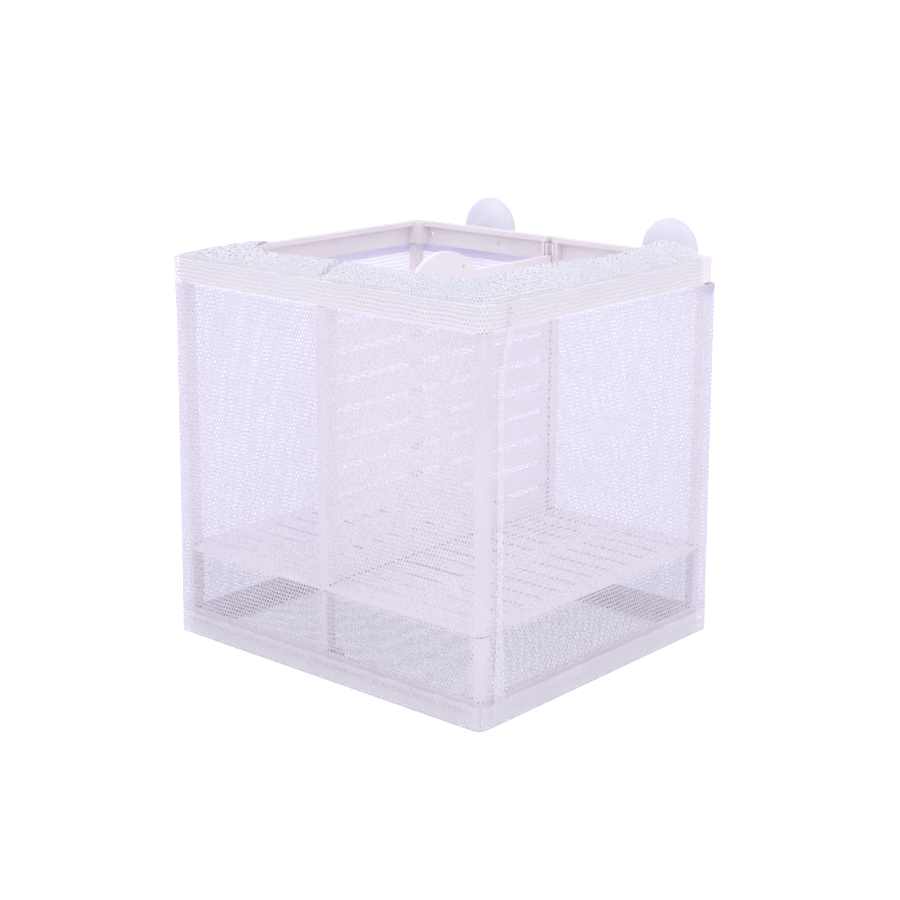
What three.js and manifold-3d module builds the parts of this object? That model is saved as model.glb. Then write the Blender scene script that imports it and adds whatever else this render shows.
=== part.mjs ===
// A net box for breeding aquarium fish: a plastic frame with a slotted floor and a lift-out
// slatted divider, dressed in a bag of fine net and hung on the glass by two suction cups.
// Lengths are in millimetres. X runs along the front, Y towards the glass and Z up.
import * as THREE from "three";
import { mergeVertices } from "three/addons/utils/BufferGeometryUtils.js";
import Module from "manifold-3d";

const wasm = await Module();
wasm.setup();

// Overall size of the plastic frame
const rimLength = 151;
const rimWidth = 136;
const boxHeight = 150;

// Fits that all pieces share
const seatGap = 0.3;
const cutOverrun = 1;
const weldDistance = 0.0001;

// Rim mouldings: a standing wall with an inward flange along its closed edge
const topRimHeight = 9.8;
const bottomRimHeight = 9.8;
const rimWall = 1.8;
const rimOverhang = 0.5;
const rimCornerRadius = 3;
const rimInnerRadius = 0.8;
const rimEdgeChamfer = 0.4;
const flangeThickness = 2;
const flangeReach = 3;
const cornerBlockSide = 8;

// Corner posts and the pins that lock them to the rims and the plate
const postWidth = 3.4;
const postDepth = 5.4;
const postEdgeRadius = 0.4;
const postPinOffset = 0.5;
const pinRadius = 0.8;
const pinLength = 6;
const socketSpareDepth = 0.8;

// Middle legs under the plate
const legWidth = 2.8;
const legDepth = 5;
const legEdgeRadius = 0.8;
const legPinRadius = 0.8;
const legPinWall = 0.4;
const legBlockWidth = 7;
const legBlockSpareDepth = 1.8;

// Grooved guide posts that hold the divider
const guideWidth = 4.6;
const guideDepth = 4.4;
const grooveWidth = 2.5;
const grooveFloor = 2.2;
const guideFootWidth = 3.6;
const guideFootThickness = 0.9;
const cheekThickness = 1.4;

// Slotted separator plate
const plateLevel = 36.6;
const plateThickness = 2.2;
const plateCornerRadius = 3;
const plateSideBorder = 7;
const plateEndBorder = 8;
const plateCentreRib = 6;
const plateQuarterRib = 9;
const plateSlotWidth = 2;
const plateSlotPitch = 10.4;

// Slatted divider with its finger grip
const dividerThickness = 2;
const dividerEndPlay = 0.4;
const dividerTopDrop = 7.2;
const dividerEndStile = 5.2;
const dividerCentreRib = 5;
const dividerBottomRail = 8.4;
const dividerTopRail = 4;
const dividerSlotHeight = 3;
const dividerSlotPitch = 10.8;
const dividerMouthPlay = 0.4;
const dividerNotchOffset = 3.5;
const dividerNotchWidth = 3;
const dividerNotchHeight = 2.4;
const gripOffset = -2;
const gripHalfWidth = 18;
const gripRise = 9;
const gripHoleOffset = 11;
const gripHoleRise = 2.2;
const gripHoleRadius = 0.7;

// Suction cups: a lip and dome on the glass, a hub, a neck and a knob
const cupSpacing = 91.6;
const cupAxisDrop = 2.5;
const cupRadius = 12.8;
const cupLipWidth = 2;
const cupLipThickness = 0.7;
const cupDish = 2.2;
const cupLength = 9;
const cupDomeDepth = 6;
const cupHubRadius = 4.2;
const cupNeckRadius = 1.7;
const cupKnobRadius = 2.9;
const cupKnobLength = 3;
const cupDishShares = [0, 0.35, 0.7];
const knobCylinderShare = 1 / 3;
const knobShoulderShare = 5 / 6;
const knobEndShare = 2 / 3;

// Slotted pockets behind the rim that the knobs of the cups drop into
const lugWall = 1.6;
const lugCheek = 1.2;
const lugTopDrop = 0.8;

// Small drain holes through the back wall of the top rim
const drainOffsets = [29, 66];
const drainRadius = 1;
const drainDrop = 5.5;

// Net bag
const netThickness = 0.5;
const netBorder = 3;
const netString = 1.8;
const netCellPitch = 20;
const netRowShare = Math.sqrt(3) / 2;
const netCellSides = 6;

// Gathered collar of net that folds over the rim, and the plain hem along the rest of it
const collarReach = 14;
const collarRise = 4.2;
const collarEndAtLeft = -22;
const collarEndShort = 8;
const collarParting = 2.8;
const collarWave = 0.7;
const collarWavePitch = 31;
const collarRipplesPerWave = 2.5;
const collarStep = 8;
const collarFanReaches = 2;
const collarRippleShare = 0.5;
const collarFoldShare = 0.5;
const collarEdgeShares = [1, 1 / 3];
const collarShoulderShares = [0.8, 0.8];
const collarCrownShares = [0.45, 1];
const collarBrinkShares = [0.12, 2 / 3];
const hemHeight = 3.6;
const hemThickness = 0.8;

// Sewn seams
const seamThickness = 0.4;
const sideSeamOffset = 8.5;
const sideSeamTopWidth = 1.6;
const sideSeamFootWidth = 3.2;
const sideSeamEndMargin = 2;
const stitchLevel = 7;
const stitchHeight = 1.3;
const stitchEndMargin = 3;

// Counts of facets
const cornerSteps = 3;
const pinSides = 10;
const holeSides = 12;
const cupSides = 20;
const cupDomeSteps = 4;
const gripSteps = 20;

// Levels and places that follow from the sizes above
const bottomRimLevel = netThickness + seatGap;
const bottomRimTop = bottomRimLevel + bottomRimHeight;
const plateUnderside = plateLevel - plateThickness;
const topRimUnderside = boxHeight - topRimHeight;
const frameHalfX = rimLength / 2 - rimOverhang;
const frameHalfY = rimWidth / 2 - rimOverhang;
const pinX = frameHalfX - postWidth / 2;
const pinY = frameHalfY - postDepth / 2 - postPinOffset;
const rimWallInsideY = rimWidth / 2 - rimWall;
const legPinY = frameHalfY - legDepth + legPinWall + legPinRadius;
const dividerFoot = plateLevel + seatGap;
const dividerHeight = boxHeight - dividerTopDrop - dividerFoot;
const dividerHalfLength = frameHalfY - grooveFloor - dividerEndPlay;
const cupAxisLevel = boxHeight - cupAxisDrop;
const knobPocketEnd = rimWidth / 2 + cupKnobLength + 2 * seatGap;
const cupShoulderY = knobPocketEnd + lugWall + seatGap;
const glassY = cupShoulderY + cupLength;
const netInsideX = frameHalfX + seatGap;
const netInsideY = frameHalfY + seatGap;
const netOutsideX = netInsideX + netThickness;
const netOutsideY = netInsideY + netThickness;
const netTop = topRimUnderside - seatGap;
const collarOutset = seatGap + netThickness;
const frontReach = Math.max(rimWidth / 2 + collarOutset, netOutsideY + seatGap + seamThickness);

// Finishes
const whitePlastic = new THREE.MeshStandardMaterial({ color: 0xf1ebec, roughness: 0.38, metalness: 0 });
const gripPlastic = new THREE.MeshStandardMaterial({ color: 0xf6eff0, roughness: 0.34, metalness: 0 });
const clearRubber = new THREE.MeshStandardMaterial({
  color: 0xe3e4f8,
  roughness: 0.22,
  metalness: 0,
  transparent: true,
  opacity: 0.7,
});
const netThread = new THREE.MeshStandardMaterial({ color: 0xe8e6f6, roughness: 0.8, metalness: 0 });
const seamThread = new THREE.MeshStandardMaterial({ color: 0xf3f1fb, roughness: 0.85, metalness: 0 });

// A solid for joining and cutting, made from a closed geometry
function solidOf(geometry) {
  const loose = geometry.index ? geometry.toNonIndexed() : geometry;
  const bare = new THREE.BufferGeometry();
  bare.setAttribute("position", loose.getAttribute("position"));
  const welded = mergeVertices(bare, weldDistance);
  return new wasm.Manifold(
    new wasm.Mesh({
      numProp: 3,
      vertProperties: new Float32Array(welded.getAttribute("position").array),
      triVerts: new Uint32Array(welded.index.array),
    }),
  );
}

// The flat-shaded geometry of a solid
function geometryOf(solid) {
  const mesh = solid.getMesh();
  const geometry = new THREE.BufferGeometry();
  geometry.setAttribute("position", new THREE.BufferAttribute(mesh.vertProperties, mesh.numProp));
  geometry.setIndex(new THREE.BufferAttribute(mesh.triVerts, 1));
  const faceted = geometry.toNonIndexed();
  faceted.computeVertexNormals();
  return faceted;
}

// One solid from several geometries that overlap
function joined(geometries) {
  return geometries.map(solidOf).reduce((whole, piece) => whole.add(piece));
}

// A solid without the room that several geometries take
function cutBy(solid, geometries) {
  return geometries.map(solidOf).reduce((rest, piece) => rest.subtract(piece), solid);
}

// A box given by its lowest and highest corners
function boxBetween(low, high) {
  const sizes = high.map((value, i) => value - low[i]);
  const centre = high.map((value, i) => (value + low[i]) / 2);
  return new THREE.BoxGeometry(...sizes).translate(...centre);
}

// An upright round bar given by its centre and its ends
function uprightBar(radius, x, y, bottom, top, sides) {
  const bar = new THREE.CylinderGeometry(radius, radius, top - bottom, sides);
  bar.rotateX(Math.PI / 2);
  return bar.translate(x, y, (bottom + top) / 2);
}

// A round bar that lies along Y
function levelBar(radius, x, z, front, back, sides) {
  const bar = new THREE.CylinderGeometry(radius, radius, back - front, sides);
  return bar.translate(x, (front + back) / 2, z);
}

// A rectangle with rounded corners, centred on the origin
function roundedRectangle(length, width, radius) {
  const x = length / 2 - radius;
  const y = width / 2 - radius;
  const outline = new THREE.Shape();
  outline.absarc(x, -y, radius, -Math.PI / 2, 0);
  outline.absarc(x, y, radius, 0, Math.PI / 2);
  outline.absarc(-x, y, radius, Math.PI / 2, Math.PI);
  outline.absarc(-x, -y, radius, Math.PI, Math.PI * 1.5);
  return outline;
}

// An outline raised between two levels
function prism(outline, bottom, top) {
  const settings = { depth: top - bottom, bevelEnabled: false, curveSegments: cornerSteps };
  return new THREE.ExtrudeGeometry(outline, settings).translate(0, 0, bottom);
}

// A ring with an inward flange along its top, square blocks in its corners and pin sockets
function rimMoulding(length, width, height) {
  const inset = { length: length - 2 * rimEdgeChamfer, width: width - 2 * rimEdgeChamfer };
  const outline = roundedRectangle(inset.length, inset.width, rimCornerRadius - rimEdgeChamfer);
  const settings = {
    depth: height - 2 * rimEdgeChamfer,
    bevelThickness: rimEdgeChamfer,
    bevelSize: rimEdgeChamfer,
    bevelSegments: 1,
    curveSegments: cornerSteps,
  };
  const body = new THREE.ExtrudeGeometry(outline, settings).translate(0, 0, rimEdgeChamfer);
  const hollow = roundedRectangle(length - 2 * rimWall, width - 2 * rimWall, rimInnerRadius);
  const mouthInset = rimWall + flangeReach;
  const mouth = roundedRectangle(length - 2 * mouthInset, width - 2 * mouthInset, rimInnerRadius);
  let ring = solidOf(body);
  ring = cutBy(ring, [
    prism(hollow, -cutOverrun, height - flangeThickness),
    prism(mouth, -cutOverrun, height + cutOverrun),
  ]);
  const blockX = length / 2 - rimWall / 2;
  const blockY = width / 2 - rimWall / 2;
  const blockReach = cornerBlockSide - rimWall / 2;
  for (const sideX of [-1, 1]) {
    for (const sideY of [-1, 1]) {
      const near = [sideX * (blockX - blockReach), sideY * (blockY - blockReach), rimEdgeChamfer];
      const far = [sideX * blockX, sideY * blockY, height - rimEdgeChamfer];
      const low = near.map((value, i) => Math.min(value, far[i]));
      const high = near.map((value, i) => Math.max(value, far[i]));
      ring = ring.add(solidOf(boxBetween(low, high)));
      const socket = uprightBar(
        pinRadius + seatGap,
        sideX * pinX,
        sideY * pinY,
        -cutOverrun,
        pinLength + socketSpareDepth,
        pinSides,
      );
      ring = cutBy(ring, [socket]);
    }
  }
  return ring;
}

// A pocket for the knob of a cup, open above, with a slot for the neck in its end plate
function cupPocket(x, axisHeight) {
  const knobHalf = cupKnobRadius + seatGap;
  const neckHalf = cupNeckRadius + seatGap;
  const half = knobHalf + lugCheek;
  const top = topRimHeight - lugTopDrop;
  const mouth = top + cutOverrun;
  const front = rimWallInsideY + rimWall / 2;
  const back = knobPocketEnd + lugWall;
  const beforeFront = front - cutOverrun;
  const behindBack = back + cutOverrun;
  const block = boxBetween([x - half, front, axisHeight - half], [x + half, back, top]);
  return cutBy(solidOf(block), [
    levelBar(knobHalf, x, axisHeight, beforeFront, knobPocketEnd, 2 * pinSides),
    boxBetween([x - knobHalf, beforeFront, axisHeight], [x + knobHalf, knobPocketEnd, mouth]),
    levelBar(neckHalf, x, axisHeight, beforeFront, behindBack, holeSides),
    boxBetween([x - neckHalf, beforeFront, axisHeight], [x + neckHalf, behindBack, mouth]),
  ]);
}

// The upper rim, with guide brackets front and back, and pockets for the cups behind
function topRim() {
  let rim = rimMoulding(rimLength, rimWidth, topRimHeight);
  const cheekInside = guideWidth / 2 + seatGap;
  const cheekOutside = cheekInside + cheekThickness;
  const cheekEnd = frameHalfY - guideDepth;
  const flangeUnderside = topRimHeight - flangeThickness;
  for (const sideY of [-1, 1]) {
    for (const sideX of [-1, 1]) {
      const a = [sideX * cheekInside, sideY * cheekEnd, rimEdgeChamfer];
      const b = [sideX * cheekOutside, sideY * (rimWallInsideY + rimWall / 2), flangeUnderside + seatGap];
      const low = a.map((value, i) => Math.min(value, b[i]));
      const high = a.map((value, i) => Math.max(value, b[i]));
      rim = rim.add(solidOf(boxBetween(low, high)));
    }
    const mouthY = rimWallInsideY - flangeReach - cutOverrun;
    const floorY = frameHalfY - grooveFloor;
    const halfSlot = dividerThickness / 2 + dividerMouthPlay;
    const lowY = Math.min(sideY * mouthY, sideY * floorY);
    const highY = Math.max(sideY * mouthY, sideY * floorY);
    rim = cutBy(rim, [
      boxBetween(
        [-halfSlot, lowY, flangeUnderside - cutOverrun],
        [halfSlot, highY, topRimHeight + cutOverrun],
      ),
    ]);
  }
  const axisHeight = cupAxisLevel - topRimUnderside;
  for (const side of [-1, 1]) {
    rim = rim.add(cupPocket((side * cupSpacing) / 2, axisHeight));
    for (const offset of drainOffsets) {
      const hole = levelBar(
        drainRadius,
        side * offset,
        topRimHeight - drainDrop,
        rimWallInsideY - cutOverrun,
        rimWidth / 2 + cutOverrun,
        pinSides,
      );
      rim = cutBy(rim, [hole]);
    }
  }
  return rim;
}

// The lower rim stands flange down, with blocks for the pins of the middle legs
function bottomRim() {
  let rim = rimMoulding(2 * frameHalfX, 2 * frameHalfY, bottomRimHeight);
  const blockY = frameHalfY - legDepth - legBlockSpareDepth;
  for (const sideY of [-1, 1]) {
    const nearY = sideY * blockY;
    const farY = sideY * (frameHalfY - rimWall / 2);
    rim = rim.add(
      solidOf(
        boxBetween(
          [-legBlockWidth / 2, Math.min(nearY, farY), rimEdgeChamfer],
          [legBlockWidth / 2, Math.max(nearY, farY), bottomRimHeight - rimEdgeChamfer],
        ),
      ),
    );
    const depth = pinLength + socketSpareDepth;
    rim = cutBy(rim, [
      uprightBar(legPinRadius + seatGap, 0, sideY * legPinY, -cutOverrun, depth, pinSides),
    ]);
  }
  return rim;
}

// The slotted plate: columns of long slots, an eye in each corner and a hole over each leg
function separatorPlate() {
  const outline = roundedRectangle(2 * frameHalfX, 2 * frameHalfY, plateCornerRadius);
  const below = -cutOverrun;
  const above = plateThickness + cutOverrun;
  const cuts = [];
  const innerEdge = plateCentreRib / 2;
  const outerEdge = frameHalfX - plateSideBorder;
  const slotLength = (outerEdge - innerEdge - plateQuarterRib) / 2;
  const columns = [innerEdge, innerEdge + slotLength + plateQuarterRib];
  const rows = Math.floor((2 * (frameHalfY - plateEndBorder)) / plateSlotPitch) + 1;
  for (let row = 0; row < rows; row++) {
    const y = (row - (rows - 1) / 2) * plateSlotPitch;
    const lowY = y - plateSlotWidth / 2;
    const highY = y + plateSlotWidth / 2;
    for (const start of columns) {
      cuts.push(boxBetween([start, lowY, below], [start + slotLength, highY, above]));
      cuts.push(boxBetween([-start - slotLength, lowY, below], [-start, highY, above]));
    }
  }
  for (const sideY of [-1, 1]) {
    cuts.push(uprightBar(legPinRadius + seatGap, 0, sideY * legPinY, below, above, pinSides));
    for (const sideX of [-1, 1]) {
      const eye = pinRadius + seatGap;
      cuts.push(uprightBar(eye, sideX * pinX, sideY * pinY, below, above, pinSides));
    }
    const notchHalf = guideFootWidth / 2 + seatGap;
    const near = sideY * (frameHalfY - guideFootThickness - seatGap);
    const far = sideY * (frameHalfY + cutOverrun);
    const lowY = Math.min(near, far);
    cuts.push(boxBetween([-notchHalf, lowY, below], [notchHalf, Math.max(near, far), above]));
  }
  return cutBy(solidOf(prism(outline, 0, plateThickness)), cuts);
}

// The section of a post: its outer edge is nearly as round as the rim's, the rest are crisp.
// The pin's axis is at the origin, a little inwards of the middle of the post.
function postSection(sideX, sideY) {
  const x = postWidth / 2;
  const outerY = postDepth / 2 + postPinOffset;
  const innerY = outerY - postDepth;
  const round = Math.min(rimCornerRadius, postWidth - 2 * postEdgeRadius);
  const outline = new THREE.Shape();
  outline.absarc(x - round, outerY - round, round, 0, Math.PI / 2);
  outline.absarc(postEdgeRadius - x, outerY - postEdgeRadius, postEdgeRadius, Math.PI / 2, Math.PI);
  outline.absarc(postEdgeRadius - x, innerY + postEdgeRadius, postEdgeRadius, Math.PI, Math.PI * 1.5);
  outline.absarc(x - postEdgeRadius, innerY + postEdgeRadius, postEdgeRadius, -Math.PI / 2, 0);
  const points = outline.getPoints(cornerSteps).map((point) => {
    return new THREE.Vector2(sideX * point.x, sideY * point.y);
  });
  return new THREE.Shape(points);
}

// An oblong corner post with a pin on top, and below it either a pin or a socket
function cornerPost(sideX, sideY, length, topPin, footPin, footSocket) {
  const inside = pinRadius;
  let post = solidOf(prism(postSection(sideX, sideY), 0, length));
  post = post.add(solidOf(uprightBar(pinRadius, 0, 0, length - inside, length + topPin, pinSides)));
  if (footPin > 0) {
    post = post.add(solidOf(uprightBar(pinRadius, 0, 0, -footPin, inside, pinSides)));
  }
  if (footSocket > 0) {
    post = cutBy(post, [uprightBar(pinRadius + seatGap, 0, 0, -cutOverrun, footSocket, pinSides)]);
  }
  return post;
}

// A rectangular leg with a thin pin at each end
function middleLeg(length) {
  const section = roundedRectangle(legWidth, legDepth, legEdgeRadius);
  const centreY = frameHalfY - legDepth / 2;
  const throughPlate = plateThickness;
  const leg = prism(section, 0, length).translate(0, centreY, 0);
  return joined([
    leg,
    uprightBar(legPinRadius, 0, legPinY, length - legPinRadius, length + throughPlate, pinSides),
    uprightBar(legPinRadius, 0, legPinY, -pinLength, legPinRadius, pinSides),
  ]);
}

// A channel section that stands on the plate, foot through its notch and head inside the rim
function guidePost() {
  const outerY = frameHalfY;
  const innerY = frameHalfY - guideDepth;
  const floorY = frameHalfY - grooveFloor;
  const half = guideWidth / 2;
  const groove = grooveWidth / 2;
  const corners = [
    [-half, outerY],
    [-half, innerY],
    [-groove, innerY],
    [-groove, floorY],
    [groove, floorY],
    [groove, innerY],
    [half, innerY],
    [half, outerY],
  ];
  const section = new THREE.Shape(corners.map((corner) => new THREE.Vector2(...corner)));
  const foot = plateLevel + seatGap;
  const head = boxHeight - flangeThickness - seatGap;
  let post = solidOf(prism(section, foot, head));
  post = cutBy(post, [
    boxBetween(
      [-guideWidth, rimWallInsideY - seatGap, topRimUnderside - seatGap],
      [guideWidth, frameHalfY + cutOverrun, head + cutOverrun],
    ),
  ]);
  const tongue = boxBetween(
    [-guideFootWidth / 2, frameHalfY - guideFootThickness, plateUnderside],
    [guideFootWidth / 2, frameHalfY, foot + seatGap],
  );
  return post.add(solidOf(tongue));
}

// The slatted divider, drawn flat with Y across and Z up, then stood along Y
function dividerPanel() {
  const end = dividerHalfLength;
  const height = dividerHeight;
  const radius = (gripHalfWidth ** 2 + gripRise ** 2) / (2 * gripRise);
  const halfAngle = Math.asin(gripHalfWidth / radius);
  const outline = new THREE.Shape();
  const notchStart = -end + dividerNotchOffset;
  outline.moveTo(-end, 0);
  outline.lineTo(notchStart, 0);
  outline.lineTo(notchStart, dividerNotchHeight);
  outline.lineTo(notchStart + dividerNotchWidth, dividerNotchHeight);
  outline.lineTo(notchStart + dividerNotchWidth, 0);
  outline.lineTo(end, 0);
  outline.lineTo(end, height);
  for (let i = 0; i <= gripSteps; i++) {
    const angle = halfAngle * (1 - (2 * i) / gripSteps);
    const centreLevel = height + gripRise - radius;
    outline.lineTo(gripOffset + radius * Math.sin(angle), centreLevel + radius * Math.cos(angle));
  }
  outline.lineTo(-end, height);
  outline.closePath();
  const inner = dividerCentreRib / 2;
  const outer = end - dividerEndStile;
  const field = height - dividerBottomRail - dividerTopRail;
  const rows = Math.floor((field - dividerSlotHeight) / dividerSlotPitch) + 1;
  const through = dividerThickness / 2 + cutOverrun;
  const cuts = [];
  for (let row = 0; row < rows; row++) {
    const low = dividerBottomRail + row * dividerSlotPitch;
    const high = low + dividerSlotHeight;
    cuts.push(boxBetween([inner, low, -through], [outer, high, through]));
    cuts.push(boxBetween([-outer, low, -through], [-inner, high, through]));
  }
  const holeX = gripOffset + gripHoleOffset;
  const holeY = height + gripHoleRise;
  cuts.push(uprightBar(gripHoleRadius, holeX, holeY, -through, through, pinSides));
  const flat = cutBy(solidOf(prism(outline, -dividerThickness / 2, dividerThickness / 2)), cuts);
  const stand = new THREE.Matrix4().makeBasis(
    new THREE.Vector3(0, 1, 0),
    new THREE.Vector3(0, 0, 1),
    new THREE.Vector3(1, 0, 0),
  );
  return geometryOf(flat).applyMatrix4(stand);
}

// A suction cup turned about Y: lip on the glass at zero, neck and knob towards the frame
function suctionCup() {
  const lipInside = cupRadius - cupLipWidth;
  const neckStart = -cupLength;
  const neckEnd = neckStart - lugWall - 2 * seatGap;
  const profile = cupDishShares.map(
    (share) => new THREE.Vector2(share * lipInside, -cupDish * Math.cos((share * Math.PI) / 2)),
  );
  profile.push(new THREE.Vector2(lipInside, 0));
  profile.push(new THREE.Vector2(cupRadius, 0));
  for (let i = 0; i <= cupDomeSteps; i++) {
    const angle = (i / cupDomeSteps) * (Math.PI / 2);
    const r = cupHubRadius + (cupRadius - cupHubRadius) * Math.cos(angle);
    const y = -cupLipThickness - (cupDomeDepth - cupLipThickness) * Math.sin(angle);
    profile.push(new THREE.Vector2(r, y));
  }
  profile.push(new THREE.Vector2(cupHubRadius, neckStart));
  profile.push(new THREE.Vector2(cupNeckRadius, neckStart));
  profile.push(new THREE.Vector2(cupNeckRadius, neckEnd));
  profile.push(new THREE.Vector2(cupKnobRadius, neckEnd));
  profile.push(new THREE.Vector2(cupKnobRadius, neckEnd - knobCylinderShare * cupKnobLength));
  profile.push(
    new THREE.Vector2(knobEndShare * cupKnobRadius, neckEnd - knobShoulderShare * cupKnobLength),
  );
  profile.push(new THREE.Vector2(0, neckEnd - cupKnobLength));
  return solidOf(new THREE.LatheGeometry(profile.reverse(), cupSides));
}

// A flat panel of net: staggered six-sided cells, clipped by a plain border
function netPanel(length, height) {
  const sheet = boxBetween([0, 0, 0], [length, height, netThickness]);
  const below = -cutOverrun;
  const above = netThickness + cutOverrun;
  const window = solidOf(
    boxBetween([netBorder, netBorder, below], [length - netBorder, height - netBorder, above]),
  );
  const columns = Math.round((length - 2 * netBorder) / netCellPitch);
  const pitch = (length - 2 * netBorder) / columns;
  const radius = (pitch - netString) / Math.sqrt(3);
  const rows = Math.round((height - 2 * netBorder) / (pitch * netRowShare));
  const rowPitch = (height - 2 * netBorder) / rows;
  let panel = solidOf(sheet);
  for (let row = 0; row < rows; row++) {
    const shifted = row % 2;
    const y = netBorder + (row + 0.5) * rowPitch;
    for (let column = 0; column < columns + shifted; column++) {
      const x = netBorder + (column + 0.5 - shifted / 2) * pitch;
      const cell = solidOf(uprightBar(radius, x, y, below, above, netCellSides));
      panel = panel.subtract(cell.intersect(window));
    }
  }
  return panel;
}

// A solid skin through rings of points. Each ring is a ribbon: its first half runs along the
// inside and its second half back along the outside, so the ends close with one strip of faces.
function loftThrough(rings) {
  const positions = rings.flat(2);
  const indices = [];
  const count = rings[0].length;
  for (let r = 0; r + 1 < rings.length; r++) {
    for (let i = 0; i < count; i++) {
      const a = r * count + i;
      const b = r * count + ((i + 1) % count);
      indices.push(a, b, b + count);
      indices.push(a, b + count, a + count);
    }
  }
  const last = (rings.length - 1) * count;
  for (let i = 0; i + 1 < count / 2; i++) {
    const a = i;
    const b = i + 1;
    const c = count - 2 - i;
    const d = count - 1 - i;
    indices.push(c, b, a);
    indices.push(d, c, a);
    indices.push(last + a, last + b, last + c);
    indices.push(last + a, last + c, last + d);
  }
  const geometry = new THREE.BufferGeometry();
  geometry.setAttribute("position", new THREE.Float32BufferAttribute(positions, 3));
  geometry.setIndex(indices);
  return geometry;
}

// How far a station's way inwards slants towards a corner: fully at the corner, not at all
// from a fan's length away
function slantShare(distance, fanLength) {
  return Math.max(0, 1 - distance / fanLength);
}

// Stations along the outside of the rim: each has a point, the way inwards and a distance run.
// The ways fan out near the corners, so that they never cross.
function stationsAlong(corners, step, fanLength) {
  const stations = [];
  let run = 0;
  for (let leg = 0; leg + 1 < corners.length; leg++) {
    const start = new THREE.Vector2(...corners[leg]);
    const end = new THREE.Vector2(...corners[leg + 1]);
    const along = end.clone().sub(start);
    const length = along.length();
    along.normalize();
    const inwards = new THREE.Vector2(-along.y, along.x);
    const steps = Math.max(1, Math.round(length / step));
    for (let i = 0; i <= steps; i++) {
      if (i === 0 && leg > 0) continue;
      const past = (i / steps) * length;
      const place = start.clone().addScaledVector(along, past);
      const way = inwards.clone();
      if (leg > 0) way.addScaledVector(along, slantShare(past, fanLength));
      if (leg + 2 < corners.length) {
        way.addScaledVector(along, -slantShare(length - past, fanLength));
      }
      stations.push({ place, way, run: run + past });
    }
    run += length;
  }
  return stations;
}

// The gathered collar: a skirt outside the rim that folds over it and swells inwards
function netCollar() {
  const x = rimLength / 2;
  const y = rimWidth / 2;
  const corners = [
    [-x, collarEndAtLeft],
    [-x, -y],
    [x, -y],
    [x, y - collarEndShort],
  ];
  const under = boxHeight + seatGap;
  const fanLength = collarFanReaches * collarReach;
  const rings = stationsAlong(corners, collarStep, fanLength).map(({ place, way, run }) => {
    const phase = (run / collarWavePitch) * 2 * Math.PI;
    const ripple = collarRippleShare * collarWave * Math.sin(collarRipplesPerWave * phase);
    const rise = boxHeight + collarRise + collarWave * Math.sin(phase) - under;
    const reach = collarReach + ripple;
    const above = (shares) => [reach * shares[0], under + rise * shares[1]];
    const section = [
      [-seatGap, topRimUnderside],
      [-seatGap, under],
      [reach * collarFoldShare, under],
      [reach - 2 * netThickness, under - netThickness],
      above(collarEdgeShares),
      above(collarShoulderShares),
      above(collarCrownShares),
      above(collarBrinkShares),
      [-collarOutset, under + netThickness],
      [-collarOutset, topRimUnderside],
    ];
    return section.map(([inward, level]) => [
      place.x + way.x * inward,
      place.y + way.y * inward,
      level,
    ]);
  });
  const collar = solidOf(loftThrough(rings));
  const half = collarParting / 2;
  return cutBy(collar, [
    boxBetween(
      [-half, -y + rimWall / 2, boxHeight - collarReach],
      [half, 0, boxHeight + 2 * collarReach],
    ),
  ]);
}

// The plain hem outside the net where the collar leaves the rim bare
function netHem() {
  const inner = { x: netOutsideX + seatGap, y: netOutsideY + seatGap };
  const corners = [
    [inner.x, rimWidth / 2 - collarEndShort],
    [inner.x, inner.y],
    [-inner.x, inner.y],
    [-inner.x, collarEndAtLeft + seatGap],
  ];
  const longest = 2 * rimLength;
  const rings = stationsAlong(corners, longest, hemThickness).map(({ place, way }) => {
    const section = [
      [0, netTop - hemHeight],
      [0, netTop],
      [-hemThickness, netTop - hemThickness / 2],
      [-hemThickness, netTop - hemHeight + hemThickness / 2],
    ];
    return section.map(([inward, level]) => [
      place.x + way.x * inward,
      place.y + way.y * inward,
      level,
    ]);
  });
  return solidOf(loftThrough(rings));
}

// The sewn side seam: a narrow tape that widens below the plate
function sideSeam() {
  const foot = bottomRimLevel + sideSeamEndMargin;
  const top = netTop - sideSeamEndMargin;
  const corners = [
    [-sideSeamFootWidth / 2, foot],
    [sideSeamFootWidth / 2, foot],
    [sideSeamTopWidth / 2, plateLevel],
    [sideSeamTopWidth / 2, top],
    [-sideSeamTopWidth / 2, top],
    [-sideSeamTopWidth / 2, plateLevel],
  ];
  const outline = new THREE.Shape(corners.map((corner) => new THREE.Vector2(...corner)));
  return solidOf(prism(outline, 0, seamThickness));
}

// The line of chain stitch along the foot of the front
function bottomSeam() {
  const half = netOutsideX - stitchEndMargin;
  const outline = roundedRectangle(2 * half, stitchHeight, stitchHeight / 2);
  return solidOf(prism(outline, 0, seamThickness));
}

// Assembly
const box = new THREE.Group();
box.position.y = (frontReach - glassY) / 2;

function addPiece(name, solid, material, parent = box) {
  const mesh = new THREE.Mesh(solid instanceof THREE.BufferGeometry ? solid : geometryOf(solid), material);
  mesh.name = name;
  parent.add(mesh);
  return mesh;
}

const upperRim = addPiece("top_rim", topRim(), whitePlastic);
upperRim.position.z = topRimUnderside;

const lowerRim = addPiece("bottom_rim", bottomRim(), whitePlastic);
lowerRim.rotation.x = Math.PI;
lowerRim.position.z = bottomRimTop;

const plate = addPiece("separator_plate", separatorPlate(), whitePlastic);
plate.position.z = plateUnderside;

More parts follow.
